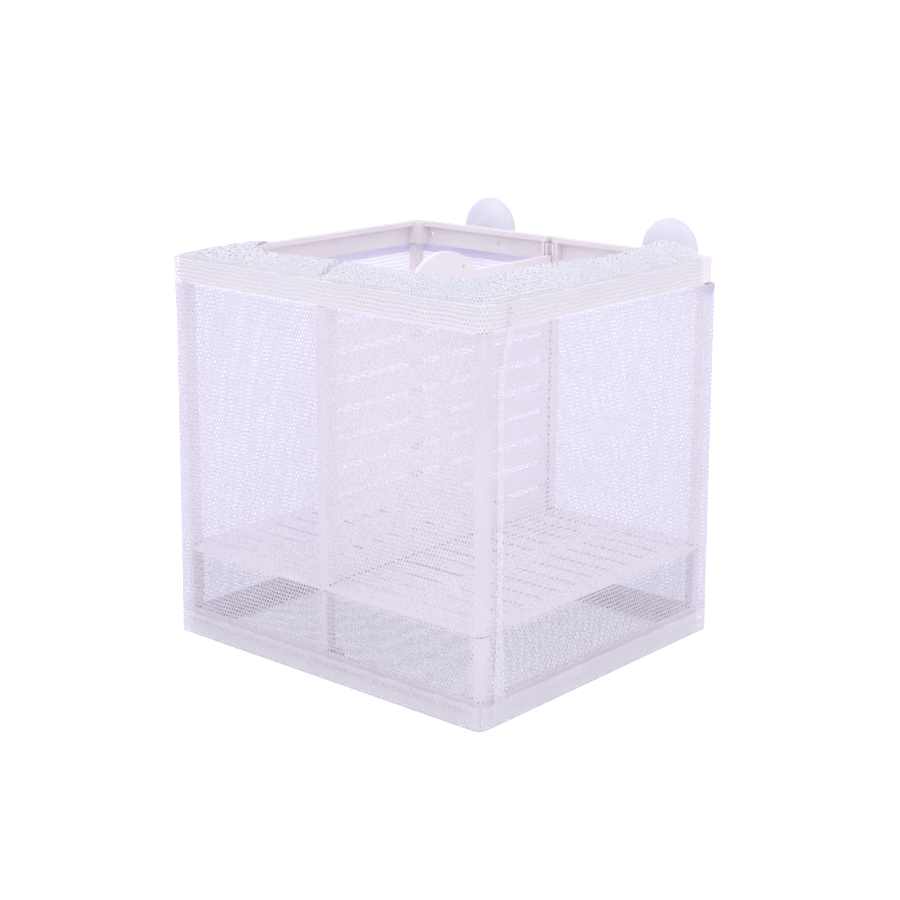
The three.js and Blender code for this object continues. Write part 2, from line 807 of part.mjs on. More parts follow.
// Corner posts above and below the plate
const upperPostFoot = plateLevel + seatGap;
const upperPostLength = topRimUnderside - seatGap - upperPostFoot;
const lowerPostFoot = bottomRimTop + seatGap;
const lowerPostLength = plateUnderside - seatGap - lowerPostFoot;
const throughPin = plateThickness + 2 * seatGap + pinLength;
const cornersByName = {
  front_left: [-1, -1],
  front_right: [1, -1],
  back_left: [-1, 1],
  back_right: [1, 1],
};
for (const [name, [sideX, sideY]] of Object.entries(cornersByName)) {
  const socketDepth = pinLength + socketSpareDepth;
  const upper = cornerPost(sideX, sideY, upperPostLength, pinLength, 0, socketDepth);
  const upperMesh = addPiece(`upper_post_${name}`, upper, whitePlastic);
  upperMesh.position.set(sideX * pinX, sideY * pinY, upperPostFoot);
  const lower = cornerPost(sideX, sideY, lowerPostLength, throughPin, pinLength, 0);
  const lowerMesh = addPiece(`lower_post_${name}`, lower, whitePlastic);
  lowerMesh.position.set(sideX * pinX, sideY * pinY, lowerPostFoot);
}

// Middle legs and guide posts, drawn at the back and turned round for the front
for (const [name, turn] of [
  ["back", 0],
  ["front", Math.PI],
]) {
  const legMesh = addPiece(`mid_leg_${name}`, middleLeg(lowerPostLength), whitePlastic);
  legMesh.rotation.z = turn;
  legMesh.position.z = lowerPostFoot;
  const guideMesh = addPiece(`guide_post_${name}`, guidePost(), whitePlastic);
  guideMesh.rotation.z = turn;
}

const divider = addPiece("divider", dividerPanel(), gripPlastic);
divider.position.z = dividerFoot;

for (const [name, side] of [
  ["left", -1],
  ["right", 1],
]) {
  const cup = addPiece(`suction_cup_${name}`, suctionCup(), clearRubber);
  cup.position.set((side * cupSpacing) / 2, glassY, cupAxisLevel);
}

// Net bag: side panels stand on the bottom panel, front and back cover the ends of the sides
const sideNetHeight = netTop - bottomRimLevel;
const netFront = addPiece("net_front", netPanel(2 * netOutsideX, sideNetHeight), netThread);
netFront.rotation.x = Math.PI / 2;
netFront.position.set(-netOutsideX, -netInsideY, bottomRimLevel);

const netBack = addPiece("net_back", netPanel(2 * netOutsideX, sideNetHeight), netThread);
netBack.rotation.x = Math.PI / 2;
netBack.position.set(-netOutsideX, netOutsideY, bottomRimLevel);

const sideNetLength = 2 * (netInsideY - seatGap);
for (const [name, x] of [
  ["net_left", -netOutsideX],
  ["net_right", netInsideX],
]) {
  const net = addPiece(name, netPanel(sideNetLength, sideNetHeight), netThread);
  net.rotation.set(Math.PI / 2, 0, Math.PI / 2, "ZXY");
  net.position.set(x, -sideNetLength / 2, bottomRimLevel);
}

const netBottom = addPiece("net_bottom", netPanel(2 * netOutsideX, 2 * netOutsideY), netThread);
netBottom.position.set(-netOutsideX, -netOutsideY, 0);

addPiece("net_collar", netCollar(), netThread);
addPiece("net_hem", netHem(), seamThread);

const seamOnSide = addPiece("side_seam", sideSeam(), seamThread);
seamOnSide.rotation.set(Math.PI / 2, 0, Math.PI / 2, "ZXY");
seamOnSide.position.set(netOutsideX + seatGap, -rimWidth / 2 + sideSeamOffset, 0);

const seamInFront = addPiece("bottom_seam", bottomSeam(), seamThread);
seamInFront.rotation.x = Math.PI / 2;
seamInFront.position.set(0, -netOutsideY - seatGap, stitchLevel);

export default box;
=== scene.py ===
# A net breeding box for aquarium fish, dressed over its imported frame: moulded white plastic,
# a bag of hexagon net with a gathered collar, sewn seams and two clear suction cups.
# Lengths are in metres. X runs along the front, Y towards the glass and Z up.
import math

import bmesh
import bpy
from mathutils import Matrix, Vector, noise


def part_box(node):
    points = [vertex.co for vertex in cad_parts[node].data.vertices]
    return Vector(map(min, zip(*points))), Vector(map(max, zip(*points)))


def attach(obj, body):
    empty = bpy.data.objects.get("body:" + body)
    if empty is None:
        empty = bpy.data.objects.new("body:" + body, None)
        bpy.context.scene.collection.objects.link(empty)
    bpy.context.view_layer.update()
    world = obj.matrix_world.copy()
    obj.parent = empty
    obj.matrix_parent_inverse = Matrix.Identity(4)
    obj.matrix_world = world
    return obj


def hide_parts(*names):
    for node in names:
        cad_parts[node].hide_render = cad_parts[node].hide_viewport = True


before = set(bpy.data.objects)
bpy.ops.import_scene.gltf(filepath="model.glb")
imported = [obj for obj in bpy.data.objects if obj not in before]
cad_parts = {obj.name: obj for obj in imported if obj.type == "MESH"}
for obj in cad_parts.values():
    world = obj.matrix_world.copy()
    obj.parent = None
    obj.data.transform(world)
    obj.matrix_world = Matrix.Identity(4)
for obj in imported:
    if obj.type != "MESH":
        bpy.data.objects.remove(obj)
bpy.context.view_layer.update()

MM = 0.001

# Without a seed, the vector noise would start from the clock and differ in each run
noise.seed_set(7)

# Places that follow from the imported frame
RIM_LOW, RIM_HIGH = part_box("top_rim")
FOOT_LOW, FOOT_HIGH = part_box("bottom_rim")
NET_LOW, NET_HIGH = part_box("net_bottom")
SEAM_LOW, SEAM_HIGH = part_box("side_seam")
STITCH_LOW, STITCH_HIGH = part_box("bottom_seam")
HEM_LOW, HEM_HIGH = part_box("net_hem")
PLATE_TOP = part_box("separator_plate")[1].z
NET_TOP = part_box("net_front")[1].z
CENTRE_Y = (FOOT_LOW.y + FOOT_HIGH.y) / 2
RIM_HALF_X = RIM_HIGH.x
RIM_CORNER_Y = RIM_LOW.y
RIM_TOP = 150 * MM
NET_HALF_X = NET_HIGH.x
NET_HALF_Y = (NET_HIGH.y - NET_LOW.y) / 2

# The net: six-sided holes between flat threads, drawn out upwards, and how high its floor lies.
# The two far sides have wider threads, because the backdrop would shine through two layers of
# holes as rows of dots.
NET_PITCH = 1.46 * MM
NET_STRETCH = 1.25
THREAD_WIDTH = 0.66 * MM
FAR_THREAD_WIDTH = 1.32 * MM
NET_LEVEL = 0.25 * MM

# The bag's corners, its round foot and how much wider than the frame it is there
ROUND_CORNER = 3.9 * MM
SHARP_CORNER = 0.5 * MM
BAG_FOOT_RADIUS = 1.5 * MM
FOOT_FLARE = 1.1 * MM
BAG_RISE = NET_TOP - NET_LEVEL + BAG_FOOT_RADIUS * (math.pi / 2 - 1)

# The ends of the gathered collar and its skirt's way round the rim
COLLAR_LEFT_END = HEM_LOW.y - 0.3 * MM
COLLAR_RIGHT_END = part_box("net_collar")[1].y
SKIRT_GAP = 0.9 * MM
SKIRT_OUTSET = 0.3 * MM

BOX_BODY = "frame"
WELD_REACH = 0.01 * MM


# Shader maths
class Term:
    """An output socket of a node. Sums and products of terms add their own Math nodes."""

    def __init__(self, finish, socket):
        self.finish = finish
        self.socket = socket

    def maths(self, operation, first, second):
        return self.finish.node("ShaderNodeMath", {"operation": operation}, {0: first, 1: second})

    def __add__(self, other):
        return self.maths("ADD", self, other)

    def __radd__(self, other):
        return self.maths("ADD", other, self)

    def __sub__(self, other):
        return self.maths("SUBTRACT", self, other)

    def __rsub__(self, other):
        return self.maths("SUBTRACT", other, self)

    def __mul__(self, other):
        return self.maths("MULTIPLY", self, other)

    def __rmul__(self, other):
        return self.maths("MULTIPLY", other, self)

    def at_most(self, other):
        return self.maths("MINIMUM", self, other)

    def at_least(self, other):
        return self.maths("MAXIMUM", self, other)


class Finish:
    """The nodes of a material or of the world, which are all made by one method."""

    def __init__(self, owner):
        owner.use_nodes = True
        self.owner = owner
        self.tree = owner.node_tree
        self.tree.nodes.clear()

    def node(self, kind, settings=None, sockets=None, output=0):
        made = self.tree.nodes.new(kind)
        for key, value in (settings or {}).items():
            if key == "stops":
                for stop, (place, colour) in zip(made.color_ramp.elements, value):
                    stop.position = place
                    stop.color = colour
            else:
                setattr(made, key, value)
        for key, value in (sockets or {}).items():
            if isinstance(value, Term):
                self.tree.links.new(value.socket, made.inputs[key])
            else:
                made.inputs[key].default_value = value
        return Term(self, made.outputs[output]) if made.outputs else None

    def place(self, turn=(0, 0, 0), stretch=(1, 1, 1)):
        """Object coordinates, turned and stretched."""
        where = self.node("ShaderNodeTexCoord", output="Object")
        return self.node("ShaderNodeMapping", None, {"Vector": where, "Rotation": turn, "Scale": stretch})

    def cloud(self, scale, detail=3.0, roughness=0.5, vector=None):
        sockets = {"Vector": vector or self.place(), "Scale": scale, "Detail": detail, "Roughness": roughness}
        return self.node("ShaderNodeTexNoise", None, sockets)

    def blend(self, share, first, second):
        """One colour turning into another."""
        sockets = {0: share, 6: first, 7: second}
        return self.node("ShaderNodeMix", {"data_type": "RGBA"}, sockets, output=2)

    def bump(self, height, strength, distance):
        sockets = {"Height": height, "Strength": strength, "Distance": distance}
        return self.node("ShaderNodeBump", None, sockets)

    def surface(self, shader):
        self.node("ShaderNodeOutputMaterial", None, {"Surface": shader})
        return self.owner


def new_material(name):
    return Finish(bpy.data.materials.new(name))


def linear(red, green, blue):
    """A screen colour from 0 to 255 as the linear colour that shaders take."""
    shares = [value / 255 for value in (red, green, blue)]
    return [((x + 0.055) / 1.055) ** 2.4 if x > 0.04045 else x / 12.92 for x in shares] + [1.0]


def spread_of(cloud, low=0.35, high=0.65):
    """A cloud's middle tones spread over 0 to 1."""
    return ((cloud - low) * (1 / (high - low))).at_least(0.0).at_most(1.0)


def moulded_plastic(name, light, dark, roughness, grain):
    """Polished injection moulding: faint flow clouds, a fine orange-peel skin and a soft gloss."""
    finish = new_material(name)
    flow = spread_of(finish.cloud(scale=38.0, detail=4.0))
    upright = finish.place(stretch=(1, 1, 0.2))
    streak = spread_of(finish.cloud(scale=22.0, roughness=0.6, vector=upright), low=0.4, high=0.7)
    colour = finish.blend(flow * 0.6 + streak * 0.4, light, dark)
    peel = finish.cloud(scale=grain, detail=2.0, roughness=0.6)
    haze = finish.cloud(scale=150.0)
    return finish.surface(
        finish.node(
            "ShaderNodeBsdfPrincipled",
            None,
            {
                "Base Color": colour,
                "Roughness": roughness + (haze - 0.5) * 0.12,
                "Normal": finish.bump(peel, strength=0.12, distance=0.1 * MM),
                "IOR": 1.5,
                "Specular IOR Level": 0.35,
            },
        )
    )


SHINE_THROUGH = (0.93, 0.92, 0.98, 1.0)


def knitted_thread(name, light, dark, through_share):
    """White thread: a change of tone from strand to strand that also stands in for the threads' glints as
    painted sparkle, a twisted lay in the bump, and a share of the light that comes through from behind."""
    finish = new_material(name)
    # Fine strand noise: a tone that differs at random, which also serves as painted glints on the threads
    strand_tone_and_painted_glints = spread_of(finish.cloud(scale=900.0, detail=2.0, roughness=0.6))
    patches = spread_of(finish.cloud(scale=45.0))
    colour = finish.blend(strand_tone_and_painted_glints * 0.65 + patches * 0.35, light, dark)
    lay = finish.cloud(scale=2600.0, detail=1.0, vector=finish.place(turn=(0.3, 0.6, 0.2)))
    body = finish.node(
        "ShaderNodeBsdfPrincipled",
        None,
        {
            "Base Color": colour,
            "Roughness": 0.75 + (patches - 0.5) * 0.1,
            "Normal": finish.bump(lay, strength=0.3, distance=0.05 * MM),
            "Specular IOR Level": 0.25,
            "Sheen Weight": 0.1,
        },
    )
    behind = finish.node("ShaderNodeBsdfTranslucent", None, {"Color": SHINE_THROUGH})
    mixed = finish.node("ShaderNodeMixShader", None, {0: through_share, 1: body, 2: behind})
    return finish.surface(mixed)


def clear_rubber(name, light, dark):
    """Soft clear vinyl, slightly cloudy, which lets the white behind it through."""
    finish = new_material(name)
    colour = finish.blend(spread_of(finish.cloud(scale=120.0)), light, dark)
    haze = finish.cloud(scale=420.0, detail=2.0)
    return finish.surface(
        finish.node(
            "ShaderNodeBsdfPrincipled",
            None,
            {
                "Base Color": colour,
                "Roughness": 0.3 + haze * 0.12,
                "Normal": finish.bump(haze, strength=0.08, distance=0.1 * MM),
                "IOR": 1.45,
                "Transmission Weight": 0.2,
                "Specular IOR Level": 0.4,
            },
        )
    )


frame_plastic = moulded_plastic(
    "white_moulding", linear(245, 240, 242), linear(238, 232, 236), roughness=0.4, grain=2200.0
)
divider_plastic = moulded_plastic(
    "white_divider", linear(252, 247, 249), linear(246, 240, 245), roughness=0.34, grain=2000.0
)
# Painted light in the net's colour: the sides' thread is tinted pinker for the plastic that shines through it
# from behind, and the far sides' copy of the same thread is tinted bluer for the bluish light that comes
# through them from the backdrop
net_thread_painted_pink_light = knitted_thread("net_thread_painted_pink_light", linear(236, 233, 246), linear(227, 223, 239), 0.5)
far_thread_painted_blue_light = knitted_thread("far_net_thread_painted_blue_light", linear(231, 230, 251), linear(223, 221, 246), 0.5)
# The collar's copy of the thread is painted brighter, as painted light against the shade that its gathers
# cast on themselves
collar_thread_painted_light = knitted_thread("collar_thread_painted_light", linear(254, 254, 255), linear(243, 243, 255), 0.2)
# The seams' copy of the thread, also used for the stitches and foot bands, is painted brighter, as painted
# light against the shade at the foot and in the folds
seam_thread = knitted_thread("seam_thread", linear(255, 254, 255), linear(247, 245, 252), 0.2)
cup_rubber = clear_rubber("clear_rubber", linear(247, 246, 255), linear(241, 240, 255))


# Mesh helpers
def piece_from(bm, name, material, node=None, body=BOX_BODY):
    """A finished piece that rides on its body, from a bmesh that already lies in place. node is
    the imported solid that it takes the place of."""
    mesh = bpy.data.meshes.new(name)
    bm.to_mesh(mesh)
    bm.free()
    for face in mesh.polygons:
        face.use_smooth = True
    mesh.materials.append(material)
    piece = bpy.data.objects.new(name, mesh)
    bpy.context.scene.collection.objects.link(piece)
    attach(piece, body)
    if node:
        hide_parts(node)
    return piece


def copied(bm, parts, step):
    """Adds a copy of some of the mesh, a step away."""
    copy = bmesh.ops.duplicate(bm, geom=parts)["geom"]
    corners = [part for part in copy if isinstance(part, bmesh.types.BMVert)]
    bmesh.ops.translate(bm, verts=corners, vec=step)


def repeated(bm, count, step):
    """Lays all that the mesh holds count times, a step apart, doubling where it can."""
    if count < 2:
        return
    unit = bm.verts[:] + bm.edges[:] + bm.faces[:]
    half = count // 2
    repeated(bm, half, step)
    copied(bm, bm.verts[:] + bm.edges[:] + bm.faces[:], Vector(step) * half)
    if count % 2:
        copied(bm, unit, Vector(step) * (count - 1))


def trimmed(bm, point, outward):
    """Cuts the mesh along a plane and drops what lies outside."""
    whole = bm.verts[:] + bm.edges[:] + bm.faces[:]
    bmesh.ops.bisect_plane(
        bm, geom=whole, dist=NET_PITCH / 1000, plane_co=point, plane_no=outward, clear_outer=True
    )


# Cuts of net that were already made, by their sizes
CUTS = {}


def net_cut(width, height, pitch=NET_PITCH, thread=THREAD_WIDTH):
    """A flat cut of net from the origin to (width, height): rows of hexagon rings, joined."""
    kind = (width, height, pitch, thread)
    if kind not in CUTS:
        CUTS[kind] = new_net_cut(*kind)
    return CUTS[kind].copy()


def new_net_cut(width, height, pitch, thread):
    """One hexagon ring, laid in rows past the cut's edges, which then trim it."""
    bm = bmesh.new()
    bmesh.ops.create_circle(bm, cap_ends=True, segments=6, radius=pitch / math.sqrt(3))
    bmesh.ops.inset_individual(bm, faces=bm.faces[:], thickness=thread / 2)
    holes = [face for face in bm.faces if len(face.verts) == 6]
    bmesh.ops.delete(bm, geom=holes, context="FACES")
    row = pitch * math.sqrt(3) / 2
    repeated(bm, math.ceil(width / pitch + 0.75), (pitch, 0, 0))
    repeated(bm, 2, (pitch / 2, row, 0))
    repeated(bm, math.ceil(height / row / 2 + 0.5), (0, 2 * row, 0))
    bmesh.ops.translate(bm, verts=bm.verts, vec=(-pitch / 4, -row / 2, 0))
    trimmed(bm, (0, 0, 0), (-1, 0, 0))
    trimmed(bm, (width, 0, 0), (1, 0, 0))
    trimmed(bm, (0, 0, 0), (0, -1, 0))
    trimmed(bm, (0, height, 0), (0, 1, 0))
    bmesh.ops.remove_doubles(bm, verts=bm.verts, dist=pitch / 50)
    return bm


def thread_area(width, height, pitch=NET_PITCH, thread=THREAD_WIDTH):
    """The area of the thread in a cut of net, without its holes."""
    return width * height * (1 - (1 - thread / pitch) ** 2)


def clamped(share):
    """A share held between 0 and 1."""
    return min(1.0, max(0.0, share))


def ease(share):
    """A smooth step from 0 to 1."""
    share = clamped(share)
    return share * share * (3 - 2 * share)


class Uneven:
    """Smooth noise over a piece: how far it swings, how often it changes in a metre along and up,
    and the line and the seed that it starts from. Different seeds keep pieces from looking alike."""

    def __init__(self, swing, along, up=0.0, line=0.0, seed=0.0):
        self.swing = swing
        self.along = along
        self.up = up
        self.line = line
        self.seed = seed

    def place(self, x, y, seed):
        return Vector((x * self.along, y * self.up + self.line, seed + self.seed))

    def at(self, x, y=0.0, seed=0.0):
        return self.swing * noise.noise(self.place(x, y, seed))

    def shift(self, x, y, seed=0.0):
        """The same in three directions at once."""
        return noise.noise_vector(self.place(x, y, seed)) * self.swing


# The bag
class Side:
    """One upright side of the bag, seen from outside: half its length between the planes of its
    neighbours, how far out it lies, its turn about Z and the radii of its left and right corners."""

    def __init__(self, half, depth, turn, left_radius, right_radius):
        self.half = half
        self.depth = depth
        self.way = Matrix.Rotation(turn, 4, "Z")
        self.turn = turn
        self.left_radius = left_radius
        self.right_radius = right_radius
        self.left_run = half - left_radius * (1 - math.pi / 4)
        self.length = self.left_run + half - right_radius * (1 - math.pi / 4)

    def place(self, run, foot_in):
        """How far along and how far in a point lies, round to the middles of both corners."""
        along = run - self.left_run
        radius = self.left_radius if along < 0 else self.right_radius
        straight = self.half - radius
        past = abs(along) - straight
        if past <= 0:
            return along, foot_in
        angle = past / radius
        reach = max(radius - foot_in, 0.0)
        return math.copysign(straight + reach * math.sin(angle), along), radius - reach * math.cos(angle)

    def point(self, along, out, level):
        """A point of the side. Towards the foot the bag is a little wider than the frame."""
        flare = FOOT_FLARE * (1 - level / NET_TOP)
        wider = 1 + flare / self.half
        return self.way @ Vector((along * wider, -out - flare, 0)) + Vector((0, CENTRE_Y, level))


FRONT_SIDE = Side(NET_HALF_X, NET_HALF_Y, 0.0, SHARP_CORNER, ROUND_CORNER)
RIGHT_SIDE = Side(NET_HALF_Y, NET_HALF_X, math.pi / 2, ROUND_CORNER, SHARP_CORNER)
BACK_SIDE = Side(NET_HALF_X, NET_HALF_Y, math.pi, SHARP_CORNER, SHARP_CORNER)
LEFT_SIDE = Side(NET_HALF_Y, NET_HALF_X, -math.pi / 2, SHARP_CORNER, SHARP_CORNER)


def rise_place(up):
    """How far in and how high a point lies, from the round foot of the bag upwards."""
    if up < BAG_FOOT_RADIUS * math.pi / 2:
        angle = up / BAG_FOOT_RADIUS
        return BAG_FOOT_RADIUS * (1 - math.sin(angle)), NET_LEVEL + BAG_FOOT_RADIUS * (1 - math.cos(angle))
    return 0.0, NET_LEVEL + BAG_FOOT_RADIUS + up - BAG_FOOT_RADIUS * math.pi / 2


# How the knitted rows of every cut drift, and where the drift ends before its edges
DRIFT = Uneven(0.45 * MM, 120, 90)
JITTER = Uneven(0.1 * MM, 900, 900, seed=3)
DRIFT_FADE = 3 * MM

# The slack of a side between its corners, and the pleats that the collar draws into its top.
# The turn of a side, times a number of seeds, gives each side waves of its own.
SLACK = 0.45 * MM
SLACK_MIDDLE = 0.55
SLACK_WAVES = Uneven(0.6, 42, 16)
SLACK_SEEDS = 7
TAUT_REACH = 12 * MM
PLEAT_DEPTH = 0.2 * MM
PLEAT_RUN = 2.1 * MM
PLEAT_WANDER = Uneven(2.2, 60, line=0.3)
PLEAT_FADE = 26 * MM
PLEATS_PAST_CORNER = 3

# How far the net is lifted off the rim under the collar, and where the collar's cover fades
LIFT_TO_RIM = 0.5 * MM
LIFT_BEGINS = 14 * MM
LEFT_COVER_FADE = 10 * MM
RIGHT_COVER_FADE = 8 * MM


def drifted(x, y, width, height, seed):
    """A point of a cut of net, moved a little within it, as knitted rows never run quite straight."""
    edge = clamped(min(x, width - x, y, height - y) / DRIFT_FADE)
    moved = DRIFT.shift(x, y, seed) + JITTER.shift(x, y, seed)
    return x + edge * moved.x, y + edge * moved.y


def rim_lift(level):
    """How far out the net is drawn near the rim, where the collar covers it."""
    return LIFT_TO_RIM * ease(1 - (NET_TOP - level) / LIFT_BEGINS)


def side_panel(name, side, node, covered, thread=THREAD_WIDTH, material=net_thread_painted_pink_light):
    """One upright side of the bag. covered tells how much of the rim above is under the collar."""
    bm = net_cut(side.length, BAG_RISE / NET_STRETCH, NET_PITCH, thread)
    for vertex in bm.verts:
        x, y = drifted(vertex.co.x, vertex.co.y * NET_STRETCH, side.length, BAG_RISE, side.turn)
        foot_in, level = rise_place(y)
        along, inward = side.place(x, foot_in)
        under_collar = covered(along)
        near_collar = ease(1 - (NET_TOP - level) / PLEAT_FADE)
        taut = min(1.0, (side.half - abs(along)) / TAUT_REACH) * min(1.0, level / TAUT_REACH)
        waves = SLACK_MIDDLE + SLACK_WAVES.at(along, level, side.turn * SLACK_SEEDS)
        pleat = math.sin(along / PLEAT_RUN + PLEAT_WANDER.at(along, seed=side.turn))
        sway = -SLACK * max(0.0, taut) * waves * (1 - near_collar)
        sway += PLEAT_DEPTH * pleat * near_collar * under_collar * clamped(taut * PLEATS_PAST_CORNER)
        out = side.depth - inward + sway + rim_lift(level) * under_collar
        vertex.co = side.point(along, out, level)
    return piece_from(bm, name, material, node)


def stretched_sheet(side, thread=THREAD_WIDTH):
    """Works out the area of thread in a side panel, which is not kept."""
    thread_area(side.length, BAG_RISE, NET_PITCH, thread)


def left_cover(along):
    """The collar's cover of the left side, whose run starts at its back end."""
    return ease((COLLAR_LEFT_END - CENTRE_Y + along) / LEFT_COVER_FADE + 0.5)


def right_cover(along):
    """The collar's cover of the right side, whose run starts at its front end."""
    return ease((COLLAR_RIGHT_END - CENTRE_Y - along) / RIGHT_COVER_FADE + 0.5)


FAR_NET = (FAR_THREAD_WIDTH, far_thread_painted_blue_light)
bag_front = side_panel("bag_front", FRONT_SIDE, "net_front", lambda along: 1.0)
bag_right = side_panel("bag_right", RIGHT_SIDE, "net_right", right_cover)
bag_back = side_panel("bag_back", BACK_SIDE, "net_back", lambda along: 0.0, *FAR_NET)
bag_left = side_panel("bag_left", LEFT_SIDE, "net_left", left_cover, *FAR_NET)


def bag_floor():
    """The flat floor of the bag, under the bottom rim."""
    width = 2 * (NET_HALF_X + FOOT_FLARE - BAG_FOOT_RADIUS)
    length = 2 * (NET_HALF_Y + FOOT_FLARE - BAG_FOOT_RADIUS)
    bm = net_cut(width, length)
    bmesh.ops.translate(bm, verts=bm.verts, vec=(-width / 2, CENTRE_Y - length / 2, NET_LEVEL))
    piece = piece_from(bm, "bag_floor", net_thread_painted_pink_light, "net_bottom")
    thread_area(width, length)


bag_floor()


# The collar in millimetres: lengths along the rim, from its left end round to its right, with its
# reach over the mouth and its rise above the rim
COLLAR_SHAPE = [
    (0, 3, 0.1),
    (12, 7, 1.0),
    (28, 12, 2.0),
    (45, 14, 2.6),
    (75, 14, 3.2),
    (100, 14, 4.0),
    (122, 14.3, 4.6),
    (150, 13.5, 4.5),
    (175, 14.2, 4.6),
    (196, 15, 5.0),
    (215, 15.6, 5.6),
    (240, 16, 5.9),
    (256, 16, 5.8),
    (271, 15.3, 5.0),
    (284, 14.5, 4.3),
    (295, 14.5, 4.7),
    (306, 14.5, 6.0),
    (315, 14.5, 6.6),
    (320, 13, 5.4),
    (330, 10, 2.5),
]

SKIRT_HALF_X = RIM_HALF_X + SKIRT_GAP
SKIRT_FRONT = RIM_CORNER_Y - SKIRT_GAP
LEFT_RADIUS = SHARP_CORNER + SKIRT_OUTSET
RIGHT_RADIUS = ROUND_CORNER + SKIRT_OUTSET
LEFT_ARC = LEFT_RADIUS * math.pi / 2
RIGHT_ARC = RIGHT_RADIUS * math.pi / 2
LEFT_STRAIGHT = COLLAR_LEFT_END - SKIRT_FRONT - LEFT_RADIUS
FRONT_STRAIGHT = 2 * SKIRT_HALF_X - LEFT_RADIUS - RIGHT_RADIUS
RIGHT_STRAIGHT = COLLAR_RIGHT_END - SKIRT_FRONT - RIGHT_RADIUS
LEFT_CORNER = LEFT_STRAIGHT + LEFT_ARC / 2
RIGHT_CORNER = LEFT_STRAIGHT + LEFT_ARC + FRONT_STRAIGHT + RIGHT_ARC / 2
COLLAR_RUN = RIGHT_CORNER + RIGHT_ARC / 2 + RIGHT_STRAIGHT

# At each front corner: how far before and after it the inner edge starts to round it, and the
# point that draws the edge outwards
COLLAR_ROUNDS = (
    (LEFT_CORNER, 43 * MM, 52 * MM, Vector((-SKIRT_HALF_X + 16.5 * MM, SKIRT_FRONT + 17.5 * MM))),
    (RIGHT_CORNER, 23 * MM, 24 * MM, Vector((SKIRT_HALF_X - 15.5 * MM, SKIRT_FRONT + 14.5 * MM))),
)


def along_collar(run):
    """The reach and the rise of the collar at a length along it."""
    rows = COLLAR_SHAPE
    i = 0
    while i < len(rows) - 2 and rows[i + 1][0] * MM < run:
        i += 1
    share = ease((run / MM - rows[i][0]) / (rows[i + 1][0] - rows[i][0]))
    return [(a + (b - a) * share) * MM for a, b in zip(rows[i][1:], rows[i + 1][1:])]


def skirt_place(run):
    """A point on the skirt's line round the outside of the rim, and the way out from it."""
    if run < LEFT_STRAIGHT:
        return Vector((-SKIRT_HALF_X, COLLAR_LEFT_END - run)), Vector((-1, 0))
    run -= LEFT_STRAIGHT
    if run < LEFT_ARC:
        angle = run / LEFT_RADIUS
        out = Vector((-math.cos(angle), -math.sin(angle)))
        middle = Vector((LEFT_RADIUS - SKIRT_HALF_X, SKIRT_FRONT + LEFT_RADIUS))
        return middle + out * LEFT_RADIUS, out
    run -= LEFT_ARC
    if run < FRONT_STRAIGHT:
        return Vector((LEFT_RADIUS - SKIRT_HALF_X + run, SKIRT_FRONT)), Vector((0, -1))
    run -= FRONT_STRAIGHT
    if run < RIGHT_ARC:
        angle = run / RIGHT_RADIUS
        out = Vector((math.sin(angle), -math.cos(angle)))
        middle = Vector((SKIRT_HALF_X - RIGHT_RADIUS, SKIRT_FRONT + RIGHT_RADIUS))
        return middle + out * RIGHT_RADIUS, out
    run -= RIGHT_ARC
    return Vector((SKIRT_HALF_X, SKIRT_FRONT + RIGHT_RADIUS + run)), Vector((1, 0))


def straight_inner(run):
    """The inner edge's point straight across from the skirt."""
    outer, out = skirt_place(run)
    return outer - out * along_collar(run)[0]


def inner_place(run):
    """A point on the collar's inner edge, which rounds the front corners in wide bends."""
    for corner, before, after, draw in COLLAR_ROUNDS:
        if corner - before < run < corner + after:
            start = straight_inner(corner - before)
            end = straight_inner(corner + after)
            share = (run - corner + before) / (before + after)
            return start * (1 - share) ** 2 + draw * 2 * share * (1 - share) + end * share**2
    return straight_inner(run)


# Rows across the collar: the share of its reach, the share of its rise and a level
SECTION = (
    (0.0, 0.0, NET_TOP - RIM_TOP),
    (0.0, 0.0, -0.9 * MM),
    (0.03, 0.0, 0.1 * MM),
    (0.12, 0.15, 0.35 * MM),
    (0.35, 0.54, 0.4 * MM),
    (0.6, 0.87, 0.4 * MM),
    (0.8, 1.0, 0.4 * MM),
    (0.93, 0.86, 0.4 * MM),
    (1.0, 0.55, 0.4 * MM),
    (0.98, 0.25, 0.4 * MM),
    (0.88, 0.08, 0.3 * MM),
    (0.6, 0.04, 0.25 * MM),
    (0.3, 0.03, 0.2 * MM),
)
TOP_ROW = 2
UNDER_ROW = 9
USUAL_REACH = 14 * MM
USUAL_RISE = 4.6 * MM

# The length of cloth from the skirt's foot to each row, at the collar's usual reach and rise
SECTION_RUNS = [0.0]
for here, there in zip(SECTION, SECTION[1:]):
    over = (there[0] - here[0]) * USUAL_REACH
    up = (there[1] - here[1]) * USUAL_RISE + there[2] - here[2]
    SECTION_RUNS.append(SECTION_RUNS[-1] + math.hypot(over, up))
SECTION_LENGTH = SECTION_RUNS[-1]
TOP_BEGINS = SECTION_RUNS[TOP_ROW]
UNDER_BEGINS = SECTION_RUNS[UNDER_ROW]

# Where the two lips over the divider part, and the crease that draws them down to the rim
COLLAR_PARTING = 2.2 * MM
PARTED_REACH = 5 * MM
PARTING_BEGINS = RIM_CORNER_Y + 0.2 * MM
PARTING_FADE = 1.2 * MM
SLIT_BEGINS = RIM_CORNER_Y + 1.2 * MM
CREASE_REACH = 1.2 * MM
CREASE_LEVEL = RIM_TOP + 0.3 * MM
LEAST_LEVEL = RIM_TOP + 0.25 * MM

